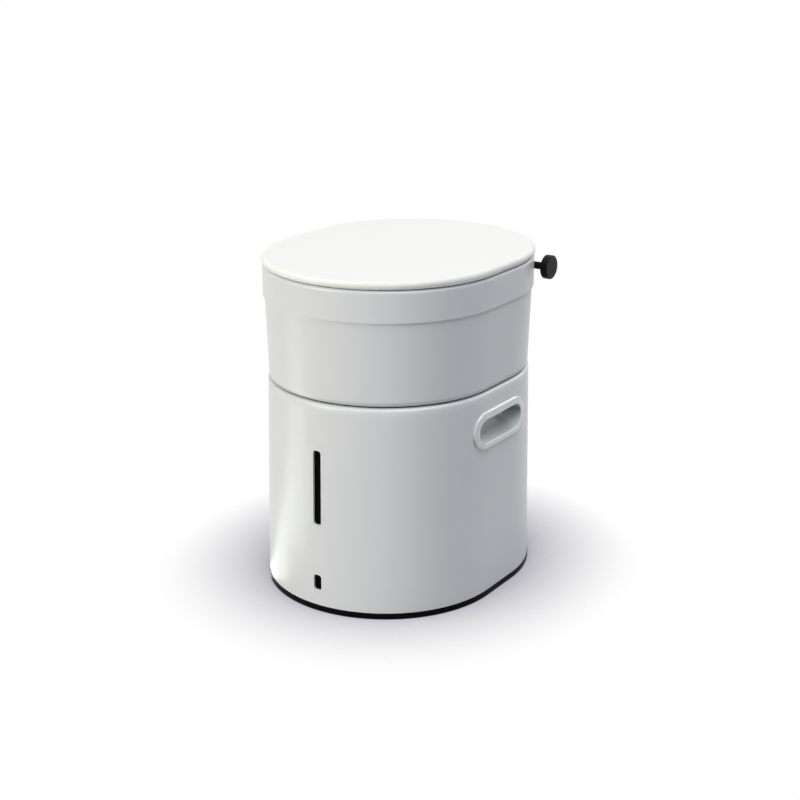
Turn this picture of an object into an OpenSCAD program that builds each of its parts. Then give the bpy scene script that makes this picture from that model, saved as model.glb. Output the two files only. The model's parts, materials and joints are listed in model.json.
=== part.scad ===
// Portable composting toilet with a urine-diverting insert and a trap door.
// Row frame: origin on the floor under the middle of the plan, +Z up, front towards -Y.
// The plan is a racetrack: two round ends joined by two short straight sides.

/* [Plan] */
// Straight length between the two round ends, the same at every level
straight = 66; // [60:1:70]
// End radius of the lid, the widest level
lid_r = 162; // [160:0.5:164]
// Wall thickness of the moulded shells
wall = 3; // [2.6:0.1:3.2]

/* [Heights] */
// Top of the black base's edge
foot_h = 8.6; // [8:0.1:9]
// Top edge of the lower housing
seam_z = 286; // [285:0.5:287]
// Lower edge of the seat ring's skirt
skirt_z = 396.5; // [395:0.5:398]
// Seat surface
seat_z = 436.8; // [436:0.1:437]
// Top of the closed lid
top_z = 448; // [448:0.5:451]

/* [Trap door] */
// How far the knob's shaft is behind the middle of the plan
shaft_y = 112; // [110:0.5:114]
// Height of the knob's shaft
shaft_z = 421; // [420.5:0.1:421.2]
// Diameter of the shaft
shaft_d = 9.8; // [9:0.1:10]
// Diameter of the knob
knob_d = 32; // [28:1:36]
// Thickness of the knob
knob_t = 10; // [8:0.5:12]

/* [Front and sides] */
// Width of both sight slots
slot_w = 12; // [8:0.5:14]
// Height of the long sight slot
slot_h = 101; // [80:1:110]
// Middle height of the hand grips
grip_z = 234; // [231:0.5:236]
// Overall height of a grip's bezel
grip_h = 52.4; // [50:0.2:54]
// Height of a grip's mouth
grip_mouth_h = 32.4; // [31:0.2:33]
// Straight length between the round ends of a grip's mouth and bezel
grip_straight = 73; // [66:1:76]

/* [Hidden] */
$fn = 96;

white_shell = [0.86, 0.86, 0.87];
warm_white = [0.95, 0.95, 0.93];
rubber_black = [0.06, 0.06, 0.065];
steel_grey = [0.62, 0.63, 0.65];

// Radii of the round ends, from the lid's
foot_r = lid_r + 0.8;             // black base
low_r = lid_r;                    // lower housing at the base
seam_r = lid_r - 5;               // lower housing at its top edge
seam_round = 5;                   // rounding of that edge
upper_low_r = lid_r - 6.5;        // upper housing at the seam
upper_top_r = lid_r - 3.1;        // upper housing under the skirt
rim_r = lid_r - 5.6;              // upper housing inside the skirt
skirt_r = lid_r - 0.8;            // seat ring's skirt
skirt_t = 2.6;                    // its wall
ledge_r = seam_r - 11;            // mouth of the lower housing
flange_t = 3;                     // insert's flange
plate_z = seat_z - wall - 0.4;    // underside of the seat
rim_z = plate_z - flange_t;       // top of the upper housing, under the insert's flange
seal_t = 2.5;                     // seam seal
lid_gap = 1.2;                    // between the lid's edge and the seat
tiny = 0.01;

// Base and the screws that hold it to the lower housing
floor_t = 3;
rim_in_r = 143.5;
screw_seat_z = 3.2;
base_screw_at = [[149, -20], [-149, -20], [99, 144.5], [-99, 144.5]];

// Solids bin, round, in the back of the lower housing
bin_y = 54;
bin_top_r = 108;
bin_foot_r = 98;
bin_z = floor_t + 0.2;
bin_h = 255;
bail_z = bin_z + bin_h - 14;
bail_r = 118.5;
bail_wire_r = 2.5;
bail_journal_r = 2.7;

// Urine canister, D-shaped, in the front
can_r = 142;
can_back_y = -66;
can_z = floor_t + 0.2;
can_top_z = 213;
can_wall = 2.5;
spout_y = -120;

// Solids chute of the insert and the trap door in it
chute_x = 78;
chute_front_y = -8;
chute_back_y = 121;
chute_foot_z = 300;
door_t = 3;

// Sight slots' middle heights, and the small one's height
long_slot_z = 171;
small_slot_z = 40;
small_slot_h = 21;

// Hand grips
grip_y = -2;
grip_body_r = grip_mouth_h / 2 + 2.5;
grip_back_x = 128;
bezel_t = 3.4;

// Lid hinge
hinge_y = lid_r + straight / 2 + 8;
hinge_z = 437;
hinge_r = 6;
pin_r = 2.5;

// Bearings of the trap door's shaft
boss_x = 116;
bush_r = 6.5;
shaft_hole_r = shaft_d / 2 + 0.7;
knob_x = 157.5;

// Seat opening, a smaller racetrack set forward of the middle
opening_r = 92;
opening_straight = 60;
opening_y = -24;

// ---------- Racetrack helpers ----------

// Flat racetrack of end radius r
module race2d(r, s = straight) {
    for (end = [-1, 1]) translate([0, end * s / 2]) circle(r);
    square([2 * r, s], center = true);
}

// Racetrack block from z0 to z1
module race_block(r, z0, z1, s = straight) {
    translate([0, 0, z0]) linear_extrude(height = z1 - z0) race2d(r, s);
}

// Sweeps a profile, drawn as (distance from the end's axis, height), round the racetrack
module race_sweep(s = straight) {
    for (turn = [0, 180]) rotate([0, 0, turn]) translate([0, s / 2, 0]) {
        rotate_extrude(angle = 180) children();
        rotate([90, 0, 0]) linear_extrude(height = s) children();
    }
}

// Points of an arc, for a profile
function arc(cx, cy, r, from, to, steps = 6) =
    [for (i = [0:steps]) let (a = from + (to - from) * i / steps) [cx + r * cos(a), cy + r * sin(a)]];

// Outer and inner radius of the lower housing's drafted wall at height z
function low_outer(z) = low_r + (seam_r - low_r) * (z - foot_h) / (seam_z - seam_round - foot_h);
function low_inner(z) = low_outer(z) - wall;

// Rounded rectangle w by h with corner radius r, about its middle
module rounded_rect(w, h, r) {
    square([w - 2 * r, h], center = true);
    square([w, h - 2 * r], center = true);
    for (x = [-1, 1], y = [-1, 1]) translate([x * (w / 2 - r), y * (h / 2 - r)]) circle(r);
}

// ---------- Base and lower housing ----------

// Black base: a floor with a thick edge, and ribs that locate the bin and the canister
module base_pan() {
    tongue_in = low_inner(foot_h) - 3.4;
    tongue_out = low_inner(foot_h) - 0.4;
    color(rubber_black) difference() {
        union() {
            race_sweep() polygon(concat(
                [[0, 0], [foot_r - 2, 0]],
                arc(foot_r - 2, 2, 2, -90, 0, 4),
                arc(foot_r - 1.5, foot_h - 1.5, 1.5, 0, 90, 4),
                [[tongue_out, foot_h], [tongue_out, foot_h + 7], [tongue_in, foot_h + 7], [tongue_in, foot_h],
                 [rim_in_r, foot_h], [rim_in_r, floor_t], [0, floor_t]]));
            translate([0, bin_y, floor_t - tiny]) difference() {
                cylinder(r = bin_foot_r + 4, h = 6);
                translate([0, 0, -1]) cylinder(r = bin_foot_r + 1.5, h = 8);
            }
            for (x = [-95, 45]) translate([x, can_back_y + 1.5, floor_t - tiny]) cube([50, 3, 10]);
        }
        for (p = base_screw_at) translate([p[0], p[1], 0]) {
            translate([0, 0, -1]) cylinder(r = 4.4, h = screw_seat_z + 1);
            cylinder(r = 2.2, h = foot_h + 1);
        }
    }
}

// Four screws that hold the base up against the housing's bosses
module base_screws() {
    color(steel_grey) for (p = base_screw_at) translate([p[0], p[1], screw_seat_z]) {
        difference() {
            translate([0, 0, -2.4]) cylinder(r = 3.8, h = 2.4);
            translate([0, 0, -2.5]) cylinder(r = 1.6, h = 1.4, $fn = 6);
        }
        translate([0, 0, -tiny]) cylinder(r = 1.95, h = 26);
    }
}

// Boss and web for one base screw, standing on the base and joined to the wall
module screw_boss(p) {
    boss_h = 28;
    web_z = 8;
    to_wall = atan2(p[1] - sign(p[1]) * min(abs(p[1]), straight / 2), p[0]);
    translate([p[0], p[1], foot_h]) {
        cylinder(r = 5.2, h = boss_h);
        rotate([0, 0, to_wall]) translate([0, -1.25, web_z]) cube([30, 2.5, boss_h - web_z]);
    }
}

// Drafted sleeve with a rolled top edge; its mouth takes the upper housing's spigot
module lower_housing() {
    color(white_shell) difference() {
        union() {
            race_sweep() polygon(concat(
                [[low_inner(foot_h), foot_h], [low_outer(foot_h), foot_h]],
                arc(seam_r - seam_round, seam_z - seam_round, seam_round, 0, 90, 8),
                [[ledge_r, seam_z], [ledge_r, seam_z - wall], [seam_r - seam_round - 1, seam_z - wall],
                 [low_inner(seam_z - 8), seam_z - 8]]));
            intersection() {
                for (p = base_screw_at) screw_boss(p);
                race_block(low_outer(60) - 1.2, foot_h, 60);
            }
        }
        for (p = base_screw_at) translate([p[0], p[1], foot_h - 1]) cylinder(r = 2, h = 24);
        sight_slot(long_slot_z, slot_h);
        sight_slot(small_slot_z, small_slot_h);
        for (side = [0, 1]) mirror([side, 0, 0]) at_grip() translate([0, 0, 130])
            linear_extrude(height = 60) race2d(grip_body_r + 0.4, grip_straight);
    }
}

// Cuts a sight slot through the front wall, about height z
module sight_slot(z, h) {
    translate([0, -lid_r - straight / 2 + 20, z]) rotate([90, 0, 0])
        linear_extrude(height = 40) rounded_rect(slot_w, h, 3.8);
}

// Smoked strip behind both sight slots
module sight_window() {
    lens_t = 2;
    lens_low = 22;
    lens_high = long_slot_z + slot_h / 2 + 10;
    lens_turn = 9;
    color([0.05, 0.055, 0.06]) translate([0, -straight / 2, 0]) rotate([0, 0, -90 - lens_turn / 2])
        rotate_extrude(angle = lens_turn) polygon([
            [low_inner(lens_low) - lens_t, lens_low], [low_inner(lens_low), lens_low],
            [low_inner(lens_high), lens_high], [low_inner(lens_high) - lens_t, lens_high]]);
}

// Solid of the lower housing's outer form, grown by grow
module housing_form(grow) {
    low = 180;
    high = seam_z - seam_round;
    race_sweep() polygon([[0, low], [low_outer(low) + grow, low], [low_outer(high) + grow, high], [0, high]]);
}

// Turns a form drawn about +Z so that its axis runs out through the grip on the +X side
module at_grip() {
    translate([0, grip_y, grip_z]) rotate([0, 90, 0]) children();
}

// Ring-shaped layer of the bezel, t thick, on the housing's surface
module bezel_layer(r, t) {
    intersection() {
        at_grip() translate([0, 0, 140]) linear_extrude(height = 30) race2d(r, grip_straight);
        difference() {
            housing_form(t);
            housing_form(0);
        }
    }
}

// Hand grip: a bezel that follows the housing's surface and a closed, scooped pocket behind it
module grip_cup() {
    mouth_r = grip_mouth_h / 2;
    scoop_r = 13;
    face_x = low_outer(grip_z) + bezel_t;
    lip = 1.2;
    edge_r = 2.4;
    color(white_shell) difference() {
        union() {
            for (a = [0, 30, 60, 90])
                bezel_layer(grip_h / 2 - edge_r * (1 - cos(a)), bezel_t - edge_r * (1 - sin(a)));
            intersection() {
                at_grip() race_sweep(grip_straight) polygon(concat(
                    [[0, grip_back_x - 2.5]],
                    arc(grip_body_r - 15, grip_back_x + 12.5, 15, -90, 0),
                    [[grip_body_r, face_x + 5], [0, face_x + 5]]));
                housing_form(bezel_t - 1);
            }
        }
        at_grip() race_sweep(grip_straight) polygon(concat(
            [[0, grip_back_x]],
            arc(mouth_r - scoop_r, grip_back_x + scoop_r, scoop_r, -90, 0),
            arc(mouth_r + lip, face_x - lip, lip, 180, 90, 3),
            [[mouth_r + lip, face_x + 2], [0, face_x + 2]]));
    }
}

module grip_cup_right() grip_cup();
module grip_cup_left() mirror([1, 0, 0]) grip_cup();

// Rubber strip on the lower housing's top edge
module seam_seal() {
    color(rubber_black) race_sweep() translate([ledge_r + 1.5, seam_z]) square([5, seal_t]);
}

// ---------- Upper housing, seat and insert ----------

// Tapered shell between the seam and the seat, with a spigot that drops into the lower housing
module upper_housing() {
    base_z = seam_z + seal_t;
    color(white_shell) difference() {
        union() {
            race_sweep() polygon([
                [upper_low_r, base_z], [upper_top_r, skirt_z - 0.5], [rim_r, skirt_z - 0.5], [rim_r, rim_z],
                [rim_r - wall, rim_z], [rim_r - wall, skirt_z - 4], [upper_top_r - wall - 0.3, skirt_z - 8],
                [upper_low_r - wall + 0.1, base_z + wall], [ledge_r - 5, base_z + wall],
                [ledge_r - 5, base_z - 13], [ledge_r - 1.7, base_z - 13], [ledge_r - 1.7, base_z]]);
            intersection() {
                translate([boss_x, shaft_y, shaft_z]) rotate([0, 90, 0]) cylinder(r = bush_r + 2, h = 40);
                race_block(rim_r - 1, skirt_z, rim_z + 10);
            }
        }
        translate([boss_x - 1, shaft_y, shaft_z]) rotate([0, 90, 0]) cylinder(r = bush_r, h = 60);
    }
}

// Seat with a skirt that laps over the upper housing
module seat_ring() {
    lip_z = rim_z + 0.3;
    color(white_shell) difference() {
        race_sweep() polygon(concat(
            [[skirt_r - skirt_t, skirt_z], [skirt_r, skirt_z]],
            arc(skirt_r - 4, seat_z - 4, 4, 0, 90, 8),
            [[0, seat_z], [0, plate_z], [skirt_r - 5.5, plate_z], [skirt_r - skirt_t, plate_z - 3]]));
        translate([0, opening_y, 0]) race_block(opening_r + 6, skirt_z, seat_z + 5, opening_straight);
        translate([100, shaft_y, shaft_z]) rotate([0, 90, 0]) cylinder(r = shaft_hole_r, h = 60);
    }
    color(white_shell) translate([0, opening_y, 0]) race_sweep(opening_straight) polygon(concat(
        [[opening_r + 6.2, plate_z], [opening_r + 6.2, seat_z]],
        arc(opening_r + 6, seat_z - 6, 6, 90, 180, 8),
        [[opening_r, lip_z], [opening_r + 2.6, lip_z], [opening_r + 2.6, plate_z]]));
}

// Outline of the solids chute, drawn in by inset
module chute2d(inset = 0) {
    front_r = 40 - inset;
    back_r = 6 - inset;
    front_x = chute_x - 40;
    back_x = chute_x - 6;
    for (x = [-1, 1]) {
        translate([x * front_x, chute_front_y + 40]) circle(front_r);
        translate([x * back_x, chute_back_y - 6]) circle(back_r);
    }
    translate([-front_x, chute_front_y + inset]) square([2 * front_x, 60]);
    translate([-chute_x + inset, chute_front_y + 40])
        square([2 * (chute_x - inset), chute_back_y - chute_front_y - 46]);
    translate([-back_x, chute_front_y + 60]) square([2 * back_x, chute_back_y - chute_front_y - 60 - inset]);
}

// Block of the urine bowl: the front of the seat opening narrowing to the spout
module bowl_block(grow) {
    $fn = 48;
    hull() {
        intersection() {
            opening_block(grow);
            translate([-150, -250, 400]) cube([300, 250 + chute_front_y - 2.5 + grow / 2, 50]);
        }
        translate([0, -78, 378 - grow]) cylinder(r = 60 + grow, h = 1);
        translate([0, spout_y, 346 - grow]) cylinder(r = 17 + grow, h = 1);
    }
}

// Block of the funnel that leads from the back of the seat opening to the chute
module funnel_block(grow) {
    $fn = 48;
    hull() {
        translate([0, 0, shaft_z + 4 - grow]) linear_extrude(height = 0.1) chute2d(-grow);
        intersection() {
            opening_block(grow);
            translate([-150, chute_front_y - grow / 2, 400]) cube([300, 200, 50]);
        }
    }
}

// Slice of the seat opening at the insert's flange
module opening_block(grow) {
    translate([0, opening_y, 0]) race_block(opening_r + 3 + grow, rim_z, plate_z, opening_straight);
}

// Urine-diverting insert: flange, urine bowl with its spout, and solids chute
module diverter_insert() {
    color(warm_white) difference() {
        union() {
            race_block(rim_r - 1.2, rim_z, plate_z);
            bowl_block(2.5);
            funnel_block(2.5);
            translate([0, 0, chute_foot_z]) linear_extrude(height = plate_z - chute_foot_z) chute2d(-2.5);
            translate([-chute_x - 16, shaft_y, shaft_z]) rotate([0, 90, 0]) cylinder(r = bush_r + 2, h = 15);
            translate([0, spout_y, 243]) cylinder(r = 12, h = 106);
        }
        difference() {
            bowl_block(0);
            translate([-100, chute_front_y - 2.5, 330]) cube([200, 160, 120]);
        }
        funnel_block(0);
        translate([0, 0, chute_foot_z - 1]) linear_extrude(height = 200) chute2d();
        translate([0, opening_y, 0]) race_block(opening_r + 3, rim_z, rim_z + 20, opening_straight);
        translate([0, spout_y, 242]) cylinder(r = 9.5, h = 112);
        translate([-chute_x - 14, shaft_y, shaft_z]) rotate([0, 90, 0]) cylinder(r = bush_r, h = 20);
        translate([chute_x - 5, shaft_y, shaft_z]) rotate([0, 90, 0]) cylinder(r = shaft_hole_r, h = 20);
    }
}

// Flanged bush in the upper housing's boss
module shaft_bush_right() {
    color([0.85, 0.84, 0.8]) translate([boss_x, shaft_y, shaft_z]) rotate([0, 90, 0]) difference() {
        union() {
            translate([0, 0, -2]) cylinder(r = bush_r + 2, h = 2);
            cylinder(r = bush_r, h = 14);
        }
        translate([0, 0, -3]) cylinder(r = shaft_d / 2 + 0.05, h = 20);
    }
}

// Plain bush in the chute's left wall
module shaft_bush_left() {
    color([0.85, 0.84, 0.8]) translate([-chute_x - 14, shaft_y, shaft_z]) rotate([0, 90, 0]) difference() {
        cylinder(r = bush_r, h = 13.5);
        translate([0, 0, 2]) cylinder(r = shaft_d / 2 + 0.05, h = 20);
    }
}

// ---------- Lid and its hinge ----------

lug_x = 30;
lug_w = 16;
knuckle_w = 40;
bracket_low_z = 408;

// Shallow lid with a rounded edge, stiffening ribs and two hinge lugs
module lid() {
    edge_z = seat_z + lid_gap;
    under_z = top_z - wall - 0.2;
    edge_r = 4.8;
    rib_h = 2;
    color(warm_white) difference() {
        union() {
            race_sweep() polygon(concat(
                [[lid_r - 8, under_z], [lid_r - 8, edge_z]],
                arc(lid_r - edge_r, edge_z + edge_r, edge_r, -90, 0),
                arc(lid_r - edge_r, top_z - edge_r, edge_r, 0, 90),
                [[0, top_z], [0, under_z]]));
            for (r = [70, 120]) race_sweep() translate([r, under_z - rib_h]) square([2.4, rib_h + 0.5]);
            for (x = [-55, 0, 55]) translate([x - 1.2, -175, under_z - rib_h]) cube([2.4, 350, rib_h + 0.5]);
            for (side = [-1, 1]) translate([side * lug_x - lug_w / 2, 0, 0]) {
                translate([0, hinge_y - 16, edge_z + 0.2]) cube([lug_w, 16, 5]);
                translate([0, hinge_y, hinge_z]) rotate([0, 90, 0]) cylinder(r = hinge_r, h = lug_w);
            }
        }
        translate([-60, hinge_y, hinge_z]) rotate([0, 90, 0]) cylinder(r = pin_r, h = 120);
    }
}

bumper_at = [[134, -70], [-134, -70], [134, 60], [-134, 60]];

// Rubber pads that the closed lid rests on
module lid_bumpers() {
    color(rubber_black) for (p = bumper_at) translate([p[0], p[1], seat_z + 0.2])
        cylinder(r1 = 5, r2 = 6, h = top_z - wall - 0.2 - seat_z - 0.2);
}

// Steel pin through the lugs and the bracket's knuckle
module hinge_pin() {
    color(steel_grey) translate([-40, hinge_y, hinge_z]) rotate([0, 90, 0]) cylinder(r = pin_r, h = 80);
}

// Bracket on the back of the skirt that carries the lid's pin
module hinge_bracket() {
    turn = 28;
    color(white_shell) difference() {
        union() {
            translate([0, straight / 2, 0]) rotate([0, 0, 90 - turn / 2]) rotate_extrude(angle = turn)
                translate([skirt_r, bracket_low_z]) square([3, 22]);
            translate([-knuckle_w / 2, hinge_y, hinge_z]) rotate([0, 90, 0])
                cylinder(r = hinge_r, h = knuckle_w);
            difference() {
                translate([-knuckle_w / 2, hinge_y - 12, bracket_low_z + 4])
                    cube([knuckle_w, 12 + hinge_r - 1.5, hinge_z - bracket_low_z - 6]);
                race_block(skirt_r, 380, 450);
                translate([-knuckle_w / 2 - 1, hinge_y + hinge_r - 1.5, bracket_low_z - 6])
                    rotate([35, 0, 0]) cube([knuckle_w + 2, 20, 30]);
            }
        }
        translate([-60, hinge_y, hinge_z]) rotate([0, 90, 0]) cylinder(r = pin_r + 0.05, h = 120);
        bracket_screw_places() translate([0, 0, -5]) cylinder(r = 2.1, h = 20);
    }
}

// Puts its children on the two bracket screws' axes, pointing outwards from the skirt
module bracket_screw_places() {
    for (a = [-10.5, 10.5]) translate([0, straight / 2, 0]) rotate([0, 0, a])
        translate([0, skirt_r + 3, bracket_low_z + 11]) rotate([-90, 0, 0]) children();
}

// Two screws that hold the bracket to the skirt
module hinge_screws() {
    color(steel_grey) bracket_screw_places() difference() {
        union() {
            cylinder(r = 3.6, h = 2.2);
            translate([0, 0, -3]) cylinder(r = 2, h = 3.01);
        }
        translate([0, 0, 1]) cylinder(r = 1.5, h = 2, $fn = 6);
    }
}

// ---------- Trap door, shaft and knob ----------

// Flat door on a hub, closing the chute just under the seat
module trapdoor() {
    hub_r = shaft_d / 2 + 2.5;
    color(warm_white) difference() {
        union() {
            door_slab(2, shaft_z - door_t / 2, door_t);
            translate([-74, shaft_y, shaft_z]) rotate([0, 90, 0]) cylinder(r = hub_r, h = 148);
            for (x = [-45, 0, 45]) translate([x - 1.5, 12, shaft_z - door_t / 2 - 4])
                cube([3, shaft_y - 12, 4.5]);
        }
        translate([-100, shaft_y, shaft_z]) rotate([0, 90, 0]) cylinder(r = shaft_d / 2, h = 200);
    }
}

// Slab of the chute's outline in front of the shaft, drawn in by inset
module door_slab(inset, z, h) {
    translate([0, 0, z]) linear_extrude(height = h) intersection() {
        chute2d(inset);
        translate([-100, chute_front_y]) square([200, shaft_y - chute_front_y]);
    }
}

// Rubber edge round the door
module trapdoor_seal() {
    color(rubber_black) difference() {
        door_slab(0.6, shaft_z - 1, 2);
        door_slab(2, shaft_z - 2, 4);
        translate([-100, shaft_y - 8, shaft_z - 2]) cube([200, 20, 4]);
    }
}

// Shaft from the left bush, through the door and the right bush, to the knob
module trapdoor_shaft() {
    left_x = -chute_x - 11.5;
    color(rubber_black) translate([left_x, shaft_y, shaft_z]) rotate([0, 90, 0])
        cylinder(d = shaft_d, h = knob_x + knob_t - 3 - left_x);
}

// Clip that keeps the shaft from pulling out through the right bush
module shaft_clip() {
    color(steel_grey) translate([boss_x - 4, shaft_y, shaft_z]) rotate([0, 90, 0]) difference() {
        cylinder(r = shaft_d / 2 + 3, h = 1.2);
        translate([0, 0, -1]) cylinder(d = shaft_d, h = 4);
    }
}

// Round hand knob with softened rims
module knob() {
    r = knob_d / 2;
    soft = 1.4;
    color(rubber_black) translate([knob_x, shaft_y, shaft_z]) rotate([0, 90, 0]) difference() {
        rotate_extrude() polygon(concat(
            [[0, 0], [r - soft, 0]],
            arc(r - soft, soft, soft, -90, 0, 4),
            arc(r - soft, knob_t - soft, soft, 0, 90, 4),
            [[0, knob_t]]));
        translate([0, 0, -1]) cylinder(d = shaft_d, h = knob_t - 2);
        translate([0, 0, knob_t / 2]) rotate([0, 90, 0]) cylinder(r = 2, h = 20);
    }
}

// Set screw in the knob's rim, pointing down
module knob_grub_screw() {
    color(steel_grey) translate([knob_x + knob_t / 2, shaft_y, shaft_z - shaft_d / 2]) rotate([180, 0, 0])
        difference() {
            cylinder(r = 2, h = 8);
            translate([0, 0, 6]) cylinder(r = 1, h = 3, $fn = 6);
        }
}

// ---------- Solids bin ----------

// Tapered bin with a rolled rim, two ears for the bail and two nubs that it rests on
module solids_bin() {
    top = bin_z + bin_h;
    color([0.2, 0.2, 0.21]) difference() {
        union() {
            translate([0, bin_y, 0]) rotate_extrude() polygon([
                [0, bin_z], [bin_foot_r - 3, bin_z], [bin_foot_r, bin_z + 3], [bin_top_r, top - 5],
                [bin_top_r + 4, top - 4], [bin_top_r + 4, top], [bin_top_r - 2.5, top],
                [bin_foot_r - 2.5, bin_z + 5], [bin_foot_r - 4.5, bin_z + 3], [0, bin_z + 3]]);
            for (side = [-1, 1]) translate([side * (bin_top_r - 1.5), bin_y, bail_z])
                rotate([0, side * 90, 0]) cylinder(r = 7, h = 6);
            for (a = [60, 120]) translate([0, bin_y, bail_z - bail_wire_r - 3.2]) rotate([0, 0, a])
                translate([bin_top_r - 2, -4, 0]) cube([13, 8, 3]);
        }
        for (side = [-1, 1]) translate([side * (bin_top_r - 5), bin_y, bail_z])
            rotate([0, side * 90, 0]) cylinder(r = bail_journal_r + 0.08, h = 12);
    }
}

// Ring that grips the liner inside the bin's rim
module liner_ring() {
    top = bin_z + bin_h;
    color([0.2, 0.45, 0.3]) translate([0, bin_y, top - 6]) difference() {
        cylinder(r = bin_top_r - 2.9, h = 8);
        translate([0, 0, -1]) cylinder(r = bin_top_r - 6.4, h = 10);
    }
}

// Wire bail, folded back round the bin
module bin_bail() {
    stub_x = bin_top_r - 2.5;
    color(steel_grey) translate([0, bin_y, bail_z]) {
        rotate_extrude(angle = 180) translate([bail_r, 0]) circle(bail_wire_r);
        for (side = [-1, 1]) translate([side * stub_x, 0, 0]) rotate([0, side * 90, 0])
            cylinder(r = bail_journal_r, h = bail_r + bail_wire_r + 0.4 - stub_x);
    }
}

// Plastic sleeve on the middle of the bail
module bail_grip() {
    turn = 46;
    color([0.2, 0.2, 0.21]) translate([0, bin_y, bail_z]) rotate([0, 0, 90 - turn / 2])
        rotate_extrude(angle = turn) translate([bail_r, 0]) difference() {
            circle(4.5);
            circle(bail_wire_r);
        }
}

// ---------- Urine canister ----------

// D-shaped outline of the canister, drawn in by inset
module canister2d(inset = 0) {
    corner = 12;
    corner_x = 122;
    intersection() {
        race2d(can_r - inset);
        union() {
            translate([-200, -300]) square([400, 300 + can_back_y - corner]);
            translate([-corner_x, -300]) square([2 * corner_x, 300 + can_back_y - inset]);
            for (x = [-1, 1]) translate([x * corner_x, can_back_y - corner]) circle(corner - inset);
        }
    }
}

// Blow-moulded canister with a neck
module urine_canister() {
    color([0.9, 0.9, 0.86]) difference() {
        union() {
            translate([0, 0, can_z]) linear_extrude(height = can_top_z - can_z) canister2d();
            translate([0, spout_y, can_top_z - 1]) cylinder(r = 22, h = 14);
        }
        translate([0, 0, can_z + can_wall]) linear_extrude(height = can_top_z - can_z - 2 * can_wall)
            canister2d(can_wall);
        translate([0, spout_y, can_top_z - 10]) cylinder(r = 19, h = 40);
    }
}

// Funnel that sits in the neck and catches the spout's stream
module canister_funnel() {
    neck_top = can_top_z + 13;
    color([0.2, 0.45, 0.3]) translate([0, spout_y, 0]) rotate_extrude() polygon([
        [7, neck_top - 26], [9, neck_top - 26], [9.5, neck_top - 14], [18.6, neck_top - 6], [18.6, neck_top],
        [24, neck_top], [27, neck_top + 22], [25, neck_top + 22], [22.2, neck_top + 2], [17.5, neck_top + 1],
        [16.6, neck_top - 5], [7, neck_top - 13.5]]);
}

// Strap handle across the back of the canister's top
module canister_handle() {
    bar_y = can_back_y - 12;
    color([0.2, 0.2, 0.21]) translate([0, bar_y, can_top_z]) rotate([90, 0, 0])
        linear_extrude(height = 16, center = true) difference() {
            translate([0, 17]) rounded_rect(116, 34, 9);
            translate([0, 12]) rounded_rect(96, 26, 6);
            translate([0, -4]) square([96, 10], center = true);
        }
}

base_pan();
base_screws();
lower_housing();
sight_window();
grip_cup_right();
grip_cup_left();
seam_seal();
upper_housing();
seat_ring();
diverter_insert();
shaft_bush_right();
shaft_bush_left();
hinge_bracket();
hinge_screws();
lid();
lid_bumpers();
hinge_pin();
trapdoor();
trapdoor_seal();
trapdoor_shaft();
shaft_clip();
knob();
knob_grub_screw();
solids_bin();
liner_ring();
bin_bail();
bail_grip();
urine_canister();
canister_funnel();
canister_handle();
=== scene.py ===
# %% [markdown]
# # A composting toilet, dressed around its frame
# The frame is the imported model: every piece at its real size, in metres, +Z up, with the front towards -Y.
# Blender adds the finishes, two finer hand grips, the studio and the camera. The camera comes first, because
# everything after it is judged through it.

# %% Load the frame and keep its box
import json
import math

import bmesh
import bpy
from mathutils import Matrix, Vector


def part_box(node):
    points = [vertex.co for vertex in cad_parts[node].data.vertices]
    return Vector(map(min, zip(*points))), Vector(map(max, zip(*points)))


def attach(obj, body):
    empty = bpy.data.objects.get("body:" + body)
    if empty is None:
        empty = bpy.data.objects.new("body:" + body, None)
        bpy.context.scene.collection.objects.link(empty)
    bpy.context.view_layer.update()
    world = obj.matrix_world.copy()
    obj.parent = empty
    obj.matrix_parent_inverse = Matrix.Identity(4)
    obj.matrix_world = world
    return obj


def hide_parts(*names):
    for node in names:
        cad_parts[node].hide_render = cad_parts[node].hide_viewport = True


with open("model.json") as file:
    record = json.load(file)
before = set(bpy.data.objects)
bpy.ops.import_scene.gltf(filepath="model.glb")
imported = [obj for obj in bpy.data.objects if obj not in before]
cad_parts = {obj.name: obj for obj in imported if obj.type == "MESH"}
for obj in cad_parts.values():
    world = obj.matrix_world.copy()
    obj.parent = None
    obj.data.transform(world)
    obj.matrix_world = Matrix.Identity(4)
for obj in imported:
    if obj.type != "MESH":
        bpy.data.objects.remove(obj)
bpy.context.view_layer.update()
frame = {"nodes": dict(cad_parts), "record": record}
MM = 0.001

# %% [markdown]
# ## The camera
# A picture's perspective gives away where its camera stood. The two round ends and the straight sides of the
# housing, fitted at five heights, put the lens 2.1 m from the object's middle, 33.5 degrees round to the right
# of the front, and looking down by 18.6 degrees. A long lens from there keeps the sides nearly parallel.

# %% Camera
camera_at = (1.0936, -1.6509, 0.901)
look_down = 18.56
camera_azimuth = 33.52
focal_px, frame_px, sensor_mm = 1534, 800, 36

camera = bpy.data.objects.new("camera", bpy.data.cameras.new("camera"))
camera.location = camera_at
camera.rotation_euler = (math.radians(90 - look_down), 0, math.radians(camera_azimuth))
camera.data.lens = focal_px / frame_px * sensor_mm
camera.data.sensor_width = sensor_mm
bpy.context.collection.objects.link(camera)
bpy.context.scene.camera = camera
print("lens", round(camera.data.lens, 1), "mm")

# %% [markdown]
# ## Helpers for every material
# Colours are given as sRGB hex values, but light is added up in linear values, so one function turns
# the first into the second. A node with its settings and its links is one line with the next function, which
# keeps a material readable as the list of steps that it is. The last one mixes two colours, because the Mix
# node's sockets go by number there, and those numbers are best written once.

# %% Colour and node helpers
def linear(hex_colour):
    """Turns an sRGB colour such as "#E9E9EB" into the linear RGBA that Blender works in."""
    channels = [int(hex_colour[i:i + 2], 16) / 255 for i in (1, 3, 5)]
    return tuple(c / 12.92 if c <= 0.04045 else ((c + 0.055) / 1.055) ** 2.4 for c in channels) + (1.0,)


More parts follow.
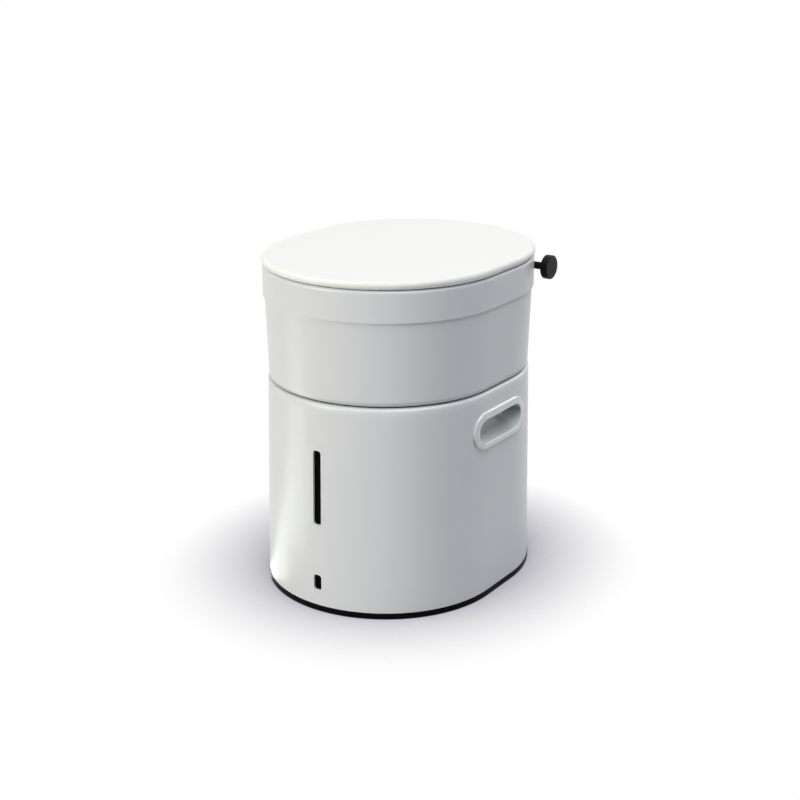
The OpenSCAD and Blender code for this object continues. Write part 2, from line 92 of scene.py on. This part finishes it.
def add_node(tree, kind, inputs=None, **settings):
    """Adds a node, sets its properties, and gives each input a value or links it to another node's output."""
    node = tree.nodes.new(kind)
    for name, value in settings.items():
        setattr(node, name, value)
    for name, value in (inputs or {}).items():
        if isinstance(value, bpy.types.NodeSocket):
            tree.links.new(value, node.inputs[name])
        else:
            node.inputs[name].default_value = value
    return node


def mix_colours(tree, factor, first, second):
    """Adds a mix from the first colour to the second, and returns the socket with its result."""
    return add_node(tree, "ShaderNodeMix", {"Factor": factor, 6: first, 7: second}, data_type="RGBA").outputs[2]


print("white is", [round(c, 3) for c in linear("#FFFFFF")])

# %% [markdown]
# ## Moulded plastic, in general
# Nearly every piece here is moulded, and a moulded skin has three scales. The colour clouds very slightly over
# some centimetres, because pigment never mixes quite evenly. The gloss changes in patches of a few millimetres,
# from handling and from uneven packing of the mould. The finest scale is the mould's own texture: grains of a
# tenth of a millimetre on a spark-eroded tool, drawn here somewhat coarser so that a picture of this size can
# show them. The first two sizes are the same everywhere. The grain's size and depth are each plastic's own, and
# so are its roughness, how far that varies, its index of refraction and its specular level.

# %% Moulded plastic
cloud_mm, patch_mm = 60, 9


def cells_per_metre(size_mm):
    """The scale of a pattern whose features are size_mm across, in object coordinates of metres."""
    return 1 / (size_mm * MM)


def moulded_plastic(name, colour, shade, rough, spread, grain_mm, depth_mm, ior=1.5, level=0.5):
    """A moulded plastic whose colour drifts from colour to shade, and whose roughness is rough, give or take
    spread. Its grain is grain_mm across and depth_mm deep."""
    material = bpy.data.materials.new(name)
    material.use_nodes = True
    tree = material.node_tree
    shader = tree.nodes["Principled BSDF"]
    shader.inputs["IOR"].default_value = ior
    shader.inputs["Specular IOR Level"].default_value = level
    place = add_node(tree, "ShaderNodeTexCoord").outputs["Object"]
    cloud = add_node(tree, "ShaderNodeTexNoise", {"Vector": place, "Scale": cells_per_metre(cloud_mm),
                                                  "Detail": 3.0})
    tint = mix_colours(tree, cloud.outputs["Fac"], linear(colour), linear(shade))
    tree.links.new(tint, shader.inputs["Base Color"])
    patch = add_node(tree, "ShaderNodeTexNoise", {"Vector": place, "Scale": cells_per_metre(patch_mm),
                                                  "Detail": 4.0})
    gloss = add_node(tree, "ShaderNodeMapRange", {"Value": patch.outputs["Fac"], "From Min": 0.3, "From Max": 0.7,
                                                  "To Min": rough - spread, "To Max": rough + spread})
    tree.links.new(gloss.outputs["Result"], shader.inputs["Roughness"])
    grain = add_node(tree, "ShaderNodeTexNoise", {"Vector": place, "Scale": cells_per_metre(grain_mm),
                                                  "Detail": 2.0})
    bump = add_node(tree, "ShaderNodeBump", {"Height": grain.outputs["Fac"], "Strength": 1.0,
                                             "Distance": depth_mm * MM})
    tree.links.new(bump.outputs["Normal"], shader.inputs["Normal"])
    return material


print("colour clouds over", cloud_mm, "mm, gloss over", patch_mm, "mm")

# %% [markdown]
# ### The white shells
# The housings, the seat and the grips are injection-moulded ABS from spark-eroded tools. ABS is a little cool
# and reflects about 4 percent straight on, so its IOR is 1.5, and the texture leaves a satin gloss that
# spreads a softbox into a wide sheen without losing it.

# %% Spark-textured ABS
textured_abs = moulded_plastic("textured_abs", "#E9E9E9", "#E7E7E8", rough=0.32, spread=0.03, grain_mm=1.6,
                               depth_mm=0.002, ior=1.5, level=0.4)
print("made", textured_abs.name)

# %% [markdown]
# ### The grips' finish
# The grips are the same ABS from a smoother tool, under a thin clear lacquer that draws a fine bright line along
# every edge. The bezel has the shell's tone. The inside of the pocket gets painted light: an ambient occlusion
# node measures how closed in a point is, and where it is closed in the colour is mixed towards white, so the
# recess looks lighter than the lamps make it. The pocket's upper rear corner gets painted shade, a mix towards
# grey, for which the occlusion's look is tilted upwards and to the rear.

# %% Smooth ABS with painted light and painted shade in its pocket
smooth_abs = moulded_plastic("smooth_abs", "#DFE2E0", "#DDE0DE", rough=0.14, spread=0.03, grain_mm=1.6,
                             depth_mm=0.001, ior=1.5, level=0.8)
lacquer = smooth_abs.node_tree.nodes["Principled BSDF"]
lacquer.inputs["Coat Weight"].default_value = 1.0
lacquer.inputs["Coat Roughness"].default_value = 0.06


def paint_light_and_shade_in_hollows(material, colour, full_at, none_at, tilt=(0.0, 0.0, 0.0), reach_mm=30):
    """Paints light or shade into a plastic's base colour by mixing in a colour: all of it where the openness to
    the air is full_at, from 0 to 1, and none where it is none_at."""
    tree = material.node_tree
    base = tree.nodes["Principled BSDF"].inputs["Base Color"]
    plain = base.links[0].from_socket
    facing = add_node(tree, "ShaderNodeNewGeometry").outputs["Normal"]
    tilted = add_node(tree, "ShaderNodeVectorMath", {0: facing, 1: tilt}, operation="ADD").outputs[0]
    look = add_node(tree, "ShaderNodeVectorMath", {0: tilted}, operation="NORMALIZE").outputs[0]
    openness = add_node(tree, "ShaderNodeAmbientOcclusion", {"Distance": reach_mm * MM, "Normal": look},
                        samples=8).outputs["AO"]
    amount = add_node(tree, "ShaderNodeMapRange", {"Value": openness, "From Min": full_at, "From Max": none_at,
                                                   "To Min": 1.0, "To Max": 0.0}).outputs["Result"]
    tree.links.new(mix_colours(tree, amount, plain, linear(colour)), base)


# Painted light: the pocket's closed-in inside is mixed towards white.
paint_light_and_shade_in_hollows(smooth_abs, "#FCFFFD", full_at=0.6, none_at=0.95)
# Painted shade: the pocket's upper rear corner is mixed towards grey.
paint_light_and_shade_in_hollows(smooth_abs, "#6B726F", full_at=0.02, none_at=0.22, tilt=(0.0, 1.2, 0.5))
print("made", smooth_abs.name)

# %% [markdown]
# ### The lid
# The lid is moulded polypropylene, a shade warmer and brighter than the housing, and its texture is finer and
# more matt, so that hands and sleeves leave no shine on it. Polypropylene's IOR is 1.49.

# %% Matt polypropylene
matt_polypropylene = moulded_plastic("matt_polypropylene", "#FDFCF7", "#FBFAF5", rough=0.5, spread=0.04,
                                     grain_mm=0.7, depth_mm=0.010, ior=1.49)
print("made", matt_polypropylene.name)

# %% [markdown]
# ### The parts that get wet
# The diverting insert and the trap door come from polished tools, because a smooth wall rinses clean. They are
# the same polypropylene with hardly any texture, and their gloss is what tells them apart from the seat.

# %% Polished polypropylene
polished_polypropylene = moulded_plastic("polished_polypropylene", "#EFEFEA", "#EBEBE4", rough=0.16, spread=0.03,
                                         grain_mm=3.0, depth_mm=0.006, ior=1.49)
print("made", polished_polypropylene.name)

# %% [markdown]
# ### The black parts
# The base is black polypropylene with a dull, coarse texture that hides scuffs. The knob and its shaft are
# glass-filled nylon: the fibres at the surface make it greyer and give it a dry, slightly streaky sheen. The
# seals and the lid's pads are EPDM rubber, nearly matt, with a bloom that greys it in patches. The strip behind
# the sight slots is smoked acrylic, which looks black from outside.

# %% Black plastics and rubber
black_polypropylene = moulded_plastic("black_polypropylene", "#060607", "#08080A", rough=0.34, spread=0.05,
                                      grain_mm=1.1, depth_mm=0.008, ior=1.49, level=0.05)
glass_filled_nylon = moulded_plastic("glass_filled_nylon", "#161618", "#111113", rough=0.44, spread=0.06,
                                     grain_mm=0.6, depth_mm=0.01, ior=1.53, level=0.1)
epdm_rubber = moulded_plastic("epdm_rubber", "#38383A", "#3E3E40", rough=0.7, spread=0.08, grain_mm=0.5,
                              depth_mm=0.02, ior=1.52, level=0.3)
smoked_acrylic = moulded_plastic("smoked_acrylic", "#040405", "#060607", rough=0.2, spread=0.03, grain_mm=5.0,
                                 depth_mm=0.002, ior=1.49, level=0.02)
print("made", black_polypropylene.name, glass_filled_nylon.name, epdm_rubber.name, smoked_acrylic.name)

# %% [markdown]
# ### The containers and the bushes
# The solids bin and the sleeve of its bail are dark grey polypropylene with a coarse grain, drawn at 1.4 mm.
# The ring that holds the liner and the canister's funnel are green, so that they are found at a glance. The
# bushes are acetal, ivory and slippery.

# %% Container plastics
grained_polypropylene = moulded_plastic("grained_polypropylene", "#3A3C40", "#33353A", rough=0.5, spread=0.05,
                                        grain_mm=1.4, depth_mm=0.06, ior=1.49)
green_polypropylene = moulded_plastic("green_polypropylene", "#2F6E48", "#2A6441", rough=0.4, spread=0.05,
                                      grain_mm=0.9, depth_mm=0.015, ior=1.49)
natural_acetal = moulded_plastic("natural_acetal", "#EAE6D8", "#E4DFCE", rough=0.3, spread=0.04, grain_mm=0.8,
                                 depth_mm=0.008, ior=1.48)
print("made", grained_polypropylene.name, green_polypropylene.name, natural_acetal.name)

# %% [markdown]
# ### The canister
# A blow-moulded canister is natural polyethylene: milky, waxy, and a little see-through where its wall is thin.
# Light that enters it comes out a few millimetres away, which subsurface scattering gives, with a radius about
# as long as the wall is thick. Its surface has the soft orange peel of a skin that never met a polished tool.

# %% Natural polyethylene
natural_polyethylene = moulded_plastic("natural_polyethylene", "#E6E5DC", "#DDDCD0", rough=0.38, spread=0.05,
                                       grain_mm=6.0, depth_mm=0.12, ior=1.54)
milky = natural_polyethylene.node_tree.nodes["Principled BSDF"]
milky.inputs["Subsurface Weight"].default_value = 0.5
milky.inputs["Subsurface Radius"].default_value = (1.0, 0.95, 0.8)
milky.inputs["Subsurface Scale"].default_value = 2.5 * MM
print("made", natural_polyethylene.name)

# %% [markdown]
# ### Zinc-plated steel
# Screws, the clip, the hinge pin and the bail are steel under bright zinc. Zinc grows as fine crystals and is
# then passivated, so its gloss is broken into soft patches of about a millimetre, and a faint blue and straw
# colour drifts over it. Metals keep the default IOR, because metallic shading takes its colour from the base.

# %% Zinc-plated steel
def zinc_plated_steel(drift_mm=12, crystal_mm=1.0):
    """Bright zinc whose colour drifts between bluish and straw, with a gloss broken up by crystals."""
    material = bpy.data.materials.new("zinc_plated_steel")
    material.use_nodes = True
    tree = material.node_tree
    shader = tree.nodes["Principled BSDF"]
    shader.inputs["Metallic"].default_value = 1.0
    place = add_node(tree, "ShaderNodeTexCoord").outputs["Object"]
    drift = add_node(tree, "ShaderNodeTexNoise", {"Vector": place, "Scale": cells_per_metre(drift_mm),
                                                  "Detail": 2.0})
    passivation = mix_colours(tree, drift.outputs["Fac"], linear("#C3C7CC"), linear("#C9C5B8"))
    tree.links.new(passivation, shader.inputs["Base Color"])
    crystals = add_node(tree, "ShaderNodeTexVoronoi", {"Vector": place, "Scale": cells_per_metre(crystal_mm)})
    gloss = add_node(tree, "ShaderNodeMapRange", {"Value": crystals.outputs["Distance"], "To Min": 0.22,
                                                  "To Max": 0.42})
    tree.links.new(gloss.outputs["Result"], shader.inputs["Roughness"])
    return material


zinc_steel = zinc_plated_steel()
print("made", zinc_steel.name)

# %% [markdown]
# ## Finishes on the frame's own pieces
# The record names a slot for each node, such as "white_shell". A table from slot to material finishes every
# node in one loop, and the pieces made later take their material from the same table.

# %% Finish every node
finish = {
    "white_shell": textured_abs, "lid_plastic": matt_polypropylene, "warm_white_plastic": polished_polypropylene,
    "base_plastic": black_polypropylene, "black_rubber": epdm_rubber, "black_plastic": glass_filled_nylon,
    "smoked_window": smoked_acrylic, "bush_plastic": natural_acetal, "steel_screws": zinc_steel,
    "steel_wire": zinc_steel, "bin_plastic": grained_polypropylene, "green_plastic": green_polypropylene,
    "canister_plastic": natural_polyethylene,
}
slot_of = {row["node"]: row["material_slot"] for row in frame["record"]["subparts"]}
for node, slot in slot_of.items():
    mesh = frame["nodes"][node].data
    mesh.materials.clear()
    mesh.materials.append(finish[slot])
print("finished", len(slot_of), "nodes in", len(set(slot_of.values())), "finishes")

# %% [markdown]
# ### The curl on both sides of the seam
# On the real object neither wall runs straight into the seam. The lower housing's leans in over its last twelve
# millimetres and ends in a rolled edge, which catches the light, and the upper housing's curls under over its
# last five or so, which puts it in shade. The fall is two or three millimetres, so a bump is enough: a copy of
# the shells' plastic gets a second bump whose height is a parabola towards the seam, over the grain's own.

# %% Walls that curl towards the seam
def curl_edge(node, edge_z, reach_mm, fall_mm):
    """Gives a frame piece its own copy of its plastic, in which the wall seems to fall in towards edge_z. The
    reach is positive for a curl that starts above the edge, and negative for one that starts below it."""
    piece = frame["nodes"][node]
    material = piece.data.materials[0].copy()
    material.name = node + "_abs"
    tree = material.node_tree
    normal = tree.nodes["Principled BSDF"].inputs["Normal"]
    place = add_node(tree, "ShaderNodeTexCoord").outputs["Object"]
    height = add_node(tree, "ShaderNodeSeparateXYZ", {"Vector": place}).outputs["Z"]
    edge = edge_z - piece.matrix_world.translation.z
    nearness = add_node(tree, "ShaderNodeMapRange", {"Value": height, "From Min": edge + reach_mm * MM,
                                                     "From Max": edge}).outputs["Result"]
    fall = add_node(tree, "ShaderNodeMath", {0: nearness, 1: 2.0}, operation="POWER").outputs[0]
    curl = add_node(tree, "ShaderNodeBump", {"Height": fall, "Strength": 1.0, "Distance": fall_mm * MM,
                                             "Normal": normal.links[0].from_socket}, invert=True)
    tree.links.new(curl.outputs["Normal"], normal)
    piece.data.materials[0] = material
    return material


seam_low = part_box("lower_housing")[1].z
seam_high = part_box("seam_seal")[1].z
curls = [curl_edge("lower_housing", seam_low, reach_mm=-12, fall_mm=2.8),
         curl_edge("upper_housing", seam_high, reach_mm=5.5, fall_mm=2.2)]
print("made", [material.name for material in curls], "seam", round((seam_high - seam_low) / MM, 1), "mm")

# %% [markdown]
# ## Softening the moulded edges
# No moulded edge is truly sharp. The mould's own corners leave a radius of a few tenths of a millimetre, and
# that radius is what catches a thin line of light. The frame's meshes have sharp edges, so each rigid shell gets
# a small stack of modifiers: weld the doubled corner points, merge the flat triangles, and bevel what is left
# sharper than 30 degrees. The frame's own mesh stays as it is under them.

# %% Bevels on the frame's pieces
weld_mm, flat_deg, sharp_edge_deg, bevel_segments = 0.002, 0.4, 30, 2


def soften(node, radius_mm):
    """Rounds a frame piece's sharp edges with modifiers, and evens out the shading of the rest."""
    piece = frame["nodes"][node]
    weld = piece.modifiers.new("weld", "WELD")
    weld.merge_threshold = weld_mm * MM
    flat = piece.modifiers.new("merge_flat", "DECIMATE")
    flat.decimate_type = "DISSOLVE"
    flat.angle_limit = math.radians(flat_deg)
    bevel = piece.modifiers.new("edge_radius", "BEVEL")
    bevel.width = radius_mm * MM
    bevel.segments = bevel_segments
    bevel.limit_method = "ANGLE"
    bevel.angle_limit = math.radians(sharp_edge_deg)
    normals = piece.modifiers.new("shade", "WEIGHTED_NORMAL")
    normals.keep_sharp = True


soft_edges = {
    "lower_housing": 0.5, "upper_housing": 1.2, "seat_ring": 0.7, "lid": 0.5, "base_pan": 0.3, "knob": 0.3,
    "trapdoor": 0.6, "canister_handle": 1.5, "solids_bin": 0.5, "urine_canister": 1.2, "shaft_bush_right": 0.3,
    "base_screws": 0.3, "hinge_screws": 0.3, "lid_bumpers": 0.5,
}
for node, radius_mm in soft_edges.items():
    soften(node, radius_mm)
print("softened", len(soft_edges), "pieces")

# %% [markdown]
# ## A skin made of rings
# The two grips are the pieces whose softly rounded forms are drawn finer here than in the frame. A grip is a
# tube of a sort: one outline that changes as it travels. The simplest mesh for that is a stack of rings with
# the same number of points, joined by four-sided faces and closed with one face at each end. Every closed ring
# stack is a solid without gaps, which also prints and exports cleanly.

# %% Ring skin
def ring_skin(name, rings, slot, sharp_deg=50):
    """Joins rings of equal length, in order, into one closed skin, and finishes it with a slot's material."""
    count = len(rings[0])
    points = [point for ring in rings for point in ring]
    faces = [tuple(reversed(range(count)))]
    for r in range(len(rings) - 1):
        low, high = r * count, (r + 1) * count
        for i in range(count):
            j = (i + 1) % count
            faces.append((low + i, low + j, high + j, high + i))
    faces.append(tuple(range(len(points) - count, len(points))))
    mesh = bpy.data.meshes.new(name)
    mesh.from_pydata(points, [], faces)
    fill = bmesh.new()
    fill.from_mesh(mesh)
    bmesh.ops.recalc_face_normals(fill, faces=fill.faces)
    fill.to_mesh(mesh)
    fill.free()
    mesh.shade_smooth()
    mesh.set_sharp_from_angle(angle=math.radians(sharp_deg))
    piece = bpy.data.objects.new(name, mesh)
    bpy.context.collection.objects.link(piece)
    mesh.materials.append(finish[slot])
    return piece


def arc(cx, cy, radius, start_deg, end_deg, steps):
    """Points of an arc, both ends included."""
    angles = [math.radians(start_deg + (end_deg - start_deg) * i / steps) for i in range(steps + 1)]
    return [(cx + radius * math.cos(a), cy + radius * math.sin(a)) for a in angles]


def racetrack(radius, straight, turns=32, steps=12):
    """Points of a racetrack in (along, across), counter-clockwise; its straight sides lie along the first."""
    right = [(straight / 2 + radius * math.cos(a), radius * math.sin(a))
             for a in (math.radians(-90 + 180 * i / turns) for i in range(turns + 1))]
    top = [(straight / 2 - straight * i / steps, radius) for i in range(1, steps)]
    left = [(-x, -y) for x, y in right]
    bottom = [(-x, -y) for x, y in top]
    return right + top + left + bottom


print("a ring has", len(racetrack(16 * MM, 73 * MM)), "points")

# %% [markdown]
# ## The hand grips
# A hand grip is a pocket with a bezel that lies on the housing, and the housing curves away under the bezel's
# front and back ends. A flat bezel would stand off there, so each ring of the bezel is drawn as a racetrack from
# the side and then dropped onto the housing's drafted surface, a given height above it. The rings go outward
# from the pocket's floor: up its scooped wall, round the lip, over the face, down the outer edge, back under the
# bezel and down the pocket's outside. The outer edge is tucked in along the bottom, so that a line of shade lies
# under it.

# %% The housing's surface
lid_low, lid_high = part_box("lid")
shell_low, shell_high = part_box("lower_housing")
grip_low, grip_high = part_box("grip_cup_right")
end_radius = lid_high.x
half_straight = -lid_low.y - end_radius
housing_foot = shell_low.z
housing_top = shell_high.z
draft = 5 * MM
rolled_edge = 5 * MM


def housing_x(y, z, lift):
    """How far out the lower housing's side is at y and z, raised by lift."""
    share = (z - housing_foot) / (housing_top - rolled_edge - housing_foot)
    radius = end_radius - draft * share + lift
    past_end = max(0.0, abs(y) - half_straight)
    return math.sqrt(radius ** 2 - past_end ** 2)


print("side at the grips", round(housing_x(0, (grip_low.z + grip_high.z) / 2, 0) / MM, 1), "mm")

# %% Grips
def make_grip(side, node):
    """One grip as a closed skin, on the +X side for side 1 and mirrored for side -1."""
    rim, lift, lip, edge_r, tucked, clear = 10 * MM, 3.4 * MM, 1.2 * MM, 2.3 * MM, 2.2 * MM, 0.02 * MM
    wall, back_r = 2.5 * MM, 6 * MM
    bezel_r = (grip_high.z - grip_low.z) / 2
    straight = grip_high.y - grip_low.y - 2 * bezel_r
    mid_y = (grip_low.y + grip_high.y) / 2
    mid_z = (grip_low.z + grip_high.z) / 2
    floor_x = grip_low.x + wall
    mouth_r = bezel_r - rim
    rings = []

    def add_ring(radius_at, depth_at):
        """Adds a ring whose radius and x may depend on how much a point faces the scoop, or down, from 0 to 1."""
        ring = []
        for along, across in racetrack(MM, straight):
            spine = max(-straight / 2, min(straight / 2, along))
            rearward, upward = (along - spine) / MM, across / MM
            scoop = max(0.0, -0.6 * rearward - 0.8 * upward)
            r = radius_at(scoop, max(0.0, -upward) ** 2)
            y, z = mid_y + spine + rearward * r, mid_z + upward * r
            ring.append((side * depth_at(scoop, y, z), y, z))
        rings.append(ring)

    def scoop_depth(scoop):
        """The wall meets the floor in a long slope below and in front, and in a tight corner elsewhere."""
        return (6 + 21 * scoop) * MM

    def scoop_inset(scoop):
        """How far in that slope ends on the floor."""
        return (5 + 10.5 * scoop) * MM

    for step in range(13):
        turn = math.radians(-90 + 90 * step / 12)
        add_ring(lambda scoop, down: mouth_r - scoop_inset(scoop) * (1 - math.cos(turn)),
                 lambda scoop, y, z: floor_x + scoop_depth(scoop) * (1 + math.sin(turn)))
    for r, t in arc(mouth_r + lip, lift - lip, lip, 180, 90, 5):
        add_ring(lambda scoop, down: r, lambda scoop, y, z: housing_x(y, z, t))
    for r, t in arc(bezel_r - edge_r, lift - edge_r, edge_r, 90, 0, 8) + [(bezel_r, clear)]:
        add_ring(lambda scoop, down: r - tucked * down, lambda scoop, y, z: housing_x(y, z, t))
    add_ring(lambda scoop, down: mouth_r + wall, lambda scoop, y, z: housing_x(y, z, clear))
    for r, x in arc(mouth_r + wall - back_r, floor_x - wall + back_r, back_r, 0, -90, 8):
        add_ring(lambda scoop, down: r, lambda scoop, y, z: x)
    piece = ring_skin(node + "_skin", rings, slot_of[node])
    piece.data.materials[0] = smooth_abs
    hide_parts(node)
    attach(piece, "housing")
    return piece


for side, node in ((1, "grip_cup_right"), (-1, "grip_cup_left")):
    grip = make_grip(side, node)
    print(grip.name, len(grip.data.polygons), "faces")

# %% [markdown]
# ## The studio floor
# The object stands on a seamless white floor. A lit white floor shows the object's shadow but is never quite
# even, and a glowing floor is even but shows no shadow. Light Path lets both be true. Rays that the camera, a
# gloss or a glass surface sends see a glowing white that an ambient occlusion node darkens near the object, as
# its shadow would. That node looks a little towards the front right, so the shadow is longer on the far side
# from there. All other rays see an ordinary pale floor, which bounces light onto the object.

# %% Floor
floor_reach, shade_reach, shade_falloff = 40.0, 0.165, 1.5
towards_front = Vector((0.11, -0.22, 0.97)).normalized()
deepest_shade, floor_white, bounce_grey = (0.02, 0.0, 0.09, 1.0), (1.0, 1.0, 1.0, 1.0), (0.5, 0.5, 0.52, 1.0)


def seen_directly(tree):
    """A socket that is 1 for the rays that the camera, a gloss or a glass surface sends, and 0 for all others."""
    rays = add_node(tree, "ShaderNodeLightPath").outputs
    direct = add_node(tree, "ShaderNodeMath", {0: rays["Is Camera Ray"], 1: rays["Is Glossy Ray"]},
                      operation="MAXIMUM")
    looking = add_node(tree, "ShaderNodeMath", {0: direct.outputs[0], 1: rays["Is Transmission Ray"]},
                       operation="MAXIMUM")
    return looking.outputs[0]


def make_floor():
    """A large square floor, glowing white with a painted shadow to the eye, and pale to the light."""
    mesh = bpy.data.meshes.new("floor")
    corners = [(x * floor_reach, y * floor_reach, 0) for x, y in ((-1, -1), (1, -1), (1, 1), (-1, 1))]
    mesh.from_pydata(corners, [], [(0, 1, 2, 3)])
    floor = bpy.data.objects.new("floor", mesh)
    bpy.context.collection.objects.link(floor)
    paint = bpy.data.materials.new("studio_floor")
    paint.use_nodes = True
    tree = paint.node_tree
    tree.nodes.clear()
    lean = add_node(tree, "ShaderNodeCombineXYZ", dict(zip("XYZ", towards_front)))
    open_sky = add_node(tree, "ShaderNodeAmbientOcclusion", {"Distance": shade_reach, "Normal": lean.outputs[0]},
                        samples=16).outputs["AO"]
    shadow = add_node(tree, "ShaderNodeMath", {0: open_sky, 1: shade_falloff}, operation="POWER").outputs[0]
    shade = mix_colours(tree, shadow, deepest_shade, floor_white)
    seen = add_node(tree, "ShaderNodeEmission", {"Color": shade, "Strength": 1.0})
    bounce = add_node(tree, "ShaderNodeBsdfDiffuse", {"Color": bounce_grey})
    both = add_node(tree, "ShaderNodeMixShader", {0: seen_directly(tree), 1: bounce.outputs[0],
                                                  2: seen.outputs[0]})
    add_node(tree, "ShaderNodeOutputMaterial", {"Surface": both.outputs[0]})
    mesh.materials.append(paint)
    return floor


print("floor", [round(v, 1) for v in make_floor().dimensions])

# %% [markdown]
# ## The light
# The housing tells where the light was. It is brightest about 60 degrees round to the camera's left and falls
# off steadily towards the right, with soft edges everywhere: that is one large softbox on the left. A second
# one above lights the lid, a weak one bridges the two, and one behind keeps the back from going dark and draws
# the bright lines along the grips' edges. All stand 4.2 m away, so that raised and opened pieces are lit about
# as much as closed ones. Angles are given from the camera, so that they can be read off the picture.

# %% Lamps
lamp_distance, lamp_aim = 4.2, Vector((0, 0, 0.25))


def area_lamp(name, shape, size, power, colour):
    """An area lamp that the camera doesn't see, still at the origin and facing down."""
    lamp = bpy.data.lights.new(name, "AREA")
    lamp.shape = shape
    lamp.size = size
    lamp.energy = power
    lamp.color = linear(colour)[:3]
    holder = bpy.data.objects.new(name, lamp)
    holder.visible_camera = False
    bpy.context.collection.objects.link(holder)
    return holder


def softbox(name, azimuth, elevation, size, power, colour):
    """A square lamp at an azimuth from the camera and an elevation, aimed at the middle of the object."""
    turn, rise = math.radians(camera_azimuth + azimuth), math.radians(elevation)
    out = Vector((math.sin(turn) * math.cos(rise), -math.cos(turn) * math.cos(rise), math.sin(rise)))
    holder = area_lamp(name, "SQUARE", size, power, colour)
    holder.location = lamp_aim + out * lamp_distance
    holder.rotation_euler = (-out).to_track_quat("-Z", "Y").to_euler()


softbox("softbox_left", -60, 20, size=1.6, power=89, colour="#FCFDF3")
softbox("softbox_middle", -35, 50, size=1.6, power=8, colour="#FFFDF2")
softbox("softbox_top", 38, 70, size=2.6, power=101, colour="#F5F7FF")
softbox("softbox_behind", 140, 36, size=2.0, power=36, colour="#FFFFFF")
print("lamps", [lamp.name for lamp in bpy.data.lights])

# %% [markdown]
# ### Two cards on the floor
# A camera that looks down sees the floor mirrored in an upright wall. The soft bright band down the housing's
# left side, which widens into a bright patch at its foot, is such a mirror image. It takes a long white card
# that lies on the floor, not another softbox. The card is a lamp that is left out of the diffuse light, since
# only its mirror image is wanted, and the piece of it next to the housing is turned a little to the rear.

# %% Floor cards
card_height = 2 * MM


def floor_card(name, near, far, width, power, colour="#FBFDF3"):
    """A long white card on the floor, seen in the object's gloss and nowhere else. Its two ends are given in
    metres to the camera's right and towards the camera, from the middle of the housing's front round end."""
    turn = math.radians(camera_azimuth)
    right, towards = Vector((math.cos(turn), math.sin(turn))), Vector((math.sin(turn), -math.cos(turn)))
    near, far = (Vector((0, -half_straight)) + right * u + towards * v for u, v in (near, far))
    holder = area_lamp(name, "RECTANGLE", (far - near).length, power, colour)
    holder.data.size_y = width
    holder.location = ((near + far) / 2).to_3d() + Vector((0, 0, card_height))
    holder.rotation_euler = (math.pi, 0, math.atan2(far.y - near.y, far.x - near.x))
    holder.visible_diffuse = False


floor_card("card_near", (-0.162, 0.045), (-0.30, -0.02), width=0.085, power=0.10)
floor_card("card_far", (-0.30, 0.04), (-1.3, -0.01), width=0.22, power=2.0)
print("cards", [lamp.name for lamp in bpy.data.lights if lamp.name.startswith("card")])

# %% [markdown]
# ## The room's own light
# The world stands for the room's white walls: a faint bluish fill on every surface. To the camera and in
# reflections it is plain white, as the floor is.

# %% World and view
fill_colour, fill_strength = (0.91, 0.93, 1.0, 1.0), 0.155

world = bpy.data.worlds.new("studio")
world.use_nodes = True
bpy.context.scene.world = world
tree = world.node_tree
tree.nodes.clear()
fill = add_node(tree, "ShaderNodeBackground", {"Color": fill_colour, "Strength": fill_strength})
white = add_node(tree, "ShaderNodeBackground", {"Color": (1.0, 1.0, 1.0, 1.0), "Strength": 1.0})
room = add_node(tree, "ShaderNodeMixShader", {0: seen_directly(tree), 1: fill.outputs[0], 2: white.outputs[0]})
add_node(tree, "ShaderNodeOutputWorld", {"Surface": room.outputs[0]})
bpy.context.scene.view_settings.view_transform = "Standard"
print("view", bpy.context.scene.view_settings.view_transform)
